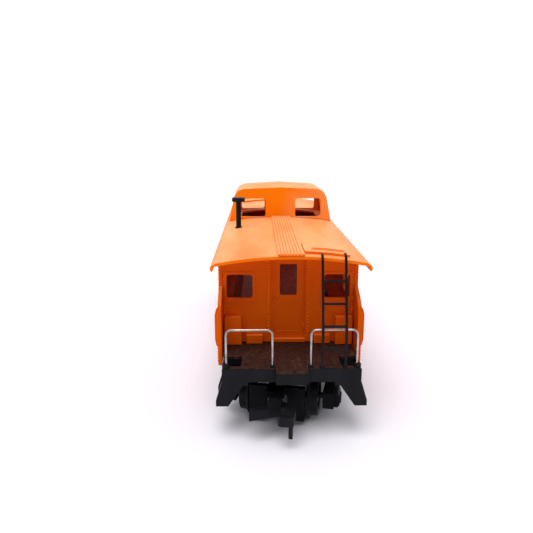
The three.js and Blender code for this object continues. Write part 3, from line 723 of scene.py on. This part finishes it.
def build_truck(end, looks):
    """One truck with its fittings, coupler and two wheelsets."""
    body = f"truck_{end}"
    frame_node = f"truck_frame_{end}"
    place(recast(frame_node, 0.14 * MM), body, "black_plastic", looks["truck"], frame_node)
    place(truck_fittings(end), body, "black_plastic", looks["truck"])
    cover = f"coupler_cover_{end}"
    place(recast(cover, 0.1 * MM), body, "black_plastic", looks["black"], cover)
    coupler = f"coupler_{end}"
    place(recast(coupler, 0.14 * MM, 3), coupler, "black_plastic", looks["black"], coupler)
    for where, y in (("outer", -AXLE_Y), ("inner", AXLE_Y)):
        wheelset = f"wheelset_{end}_{where}"
        axle = f"axle_{end}_{where}"
        place(axle_skin(axle, end, y), wheelset, "blackened_steel", looks["blackened"], axle)
        for letter, side in (("a", 1), ("b", -1)):
            node = f"wheel_{end}_{where}_{letter}"
            place(wheel_skin(node, end, y, side), wheelset, "black_wheels", looks["wheels"], node)


# ---- Studio ----
TOP_SKY = 0.9  # brightness straight above
BACK_SKY = 1.12  # its share near the horizon at the far end of the car
FRONT_SKY = 0.20  # its share near the horizon at the near end
FLOOR_HALF = 6.0
KEY_POWER = 1.85
KEY_SPREAD = math.radians(44)
KEY_FROM = Vector((-0.14, -0.36, 1.0))
LENS = 37.15  # in millimetres, on a sensor 36 wide
CAMERA_SPOT = Vector((-7.83, -189.2, 70.4)) * MM
LOOK_DOWN = math.radians(13.25)
LOOK_RIGHT = math.radians(0.93)


def sky_light():
    """Soft light from above and from the white sweep behind, little from the front."""
    world = bpy.data.worlds.new("studio")
    bpy.context.scene.world = world
    world.use_nodes = True
    tree = world.node_tree
    sky = tree.nodes["Background"]
    parts = tree.nodes.new("ShaderNodeSeparateXYZ")
    tree.links.new(tree.nodes.new("ShaderNodeTexCoord").outputs["Generated"], parts.inputs[0])

    def ramp(source, stops):
        node = tree.nodes.new("ShaderNodeValToRGB")
        for element, (at, level) in zip(node.color_ramp.elements, stops):
            element.position = at
            element.color = (level, level, level, 1)
        tree.links.new(source, node.inputs["Fac"])
        return node.outputs["Color"]

    shift = tree.nodes.new("ShaderNodeMath")
    shift.operation = "MULTIPLY_ADD"
    shift.inputs[1].default_value = 0.5
    shift.inputs[2].default_value = 0.5
    tree.links.new(parts.outputs["Y"], shift.inputs[0])
    around = ramp(shift.outputs[0], [(0.25, FRONT_SKY), (0.72, BACK_SKY)])
    blend = tree.nodes.new("ShaderNodeMix")
    blend.data_type = "RGBA"
    blend.inputs[7].default_value = (1.0, 1.0, 1.0, 1.0)
    tree.links.new(ramp(parts.outputs["Z"], [(0.25, 0.0), (0.95, 1.0)]), blend.inputs[0])
    tree.links.new(around, blend.inputs[6])
    tree.links.new(blend.outputs[2], sky.inputs["Color"])
    sky.inputs["Strength"].default_value = TOP_SKY


def build_studio():
    """White floor, soft sky and one broad key light."""
    half = FLOOR_HALF
    corners = [(-half, -half, 0), (half, -half, 0), (half, half, 0), (-half, half, 0)]
    floor = make_object("floor", corners, [(0, 1, 2, 3)])
    floor.data.materials.append(floor_material())

    sky_light()

    key = bpy.data.lights.new("key", "SUN")
    key.energy = KEY_POWER
    key.angle = KEY_SPREAD
    key.color = (1.0, 0.985, 0.97)
    add_object("key", key).rotation_euler = KEY_FROM.to_track_quat("Z", "Y").to_euler()


def build_camera():
    """Before the near end, a little left of the middle, looking down along the car."""
    camera = bpy.data.cameras.new("camera")
    camera.sensor_width = 36.0
    camera.lens = LENS
    camera.clip_start = 0.005
    holder = add_object("camera", camera)
    holder.location = CAMERA_SPOT
    holder.rotation_euler = (math.radians(90) - LOOK_DOWN, 0, -LOOK_RIGHT)
    bpy.context.scene.camera = holder


def make_looks():
    """Every material of the object, by the name that the builders use."""
    return {
        "shell": orange_plastic(
            "orange_plastic",
            (0.68, 0.090, 0.0),
            (0.76, 0.114, 0.0),
            # painted highlight: yellow-orange laid on the shell's tops, for the strong light from
            # above
            pale=(1.0, 0.36, 0.07),
            rough=(0.46, 0.58),
        ),
        # painted light: roof and cupola are brighter copies of the shell's orange, for the light that
        # falls on them; the cupola's faces towards +X also get a painted highlight
        "roof": orange_plastic("orange_roof_lit", (0.90, 0.15, 0.001), (0.96, 0.19, 0.003)),
        "cupola": orange_plastic("orange_cupola_lit", (0.96, 0.21, 0.001), (1.0, 0.26, 0.002), side=0.45),
        # painted highlight: the rivet heads are a brighter copy of the orange, so they show as lit
        # dots
        "rivets": orange_plastic("orange_rivets_lit", (0.92, 0.15, 0.001), (0.98, 0.20, 0.003), top_highlight=0.3),
        "black": black_plastic(),
        # painted shade: a darker copy of the black plastic, for the shade under the car
        "truck": black_plastic("black_truck_shaded", 0.0045, (0.4, 0.55), 0.06),
        "wheels": black_plastic("black_wheels", 0.004, (0.25, 0.4)),
        "deck": deck_brown(),
        "wire": bright_wire(),
        "steel": plain_steel(),
        "blackened": plain_steel("blackened_steel", (0.020, 0.020, 0.022), (0.05, 0.05, 0.055)),
        "clear": clear_sheet(),
        "rusty": plain_steel("rusty_steel", (0.05, 0.014, 0.008), (0.16, 0.045, 0.022), 0.3),
    }


def main():
    looks = make_looks()
    build_body(looks)
    for end in ("front", "rear"):
        build_truck(end, looks)
    build_studio()
    build_camera()
    bpy.context.scene.view_settings.view_transform = "Standard"


main()
bpy.context.view_layer.update()
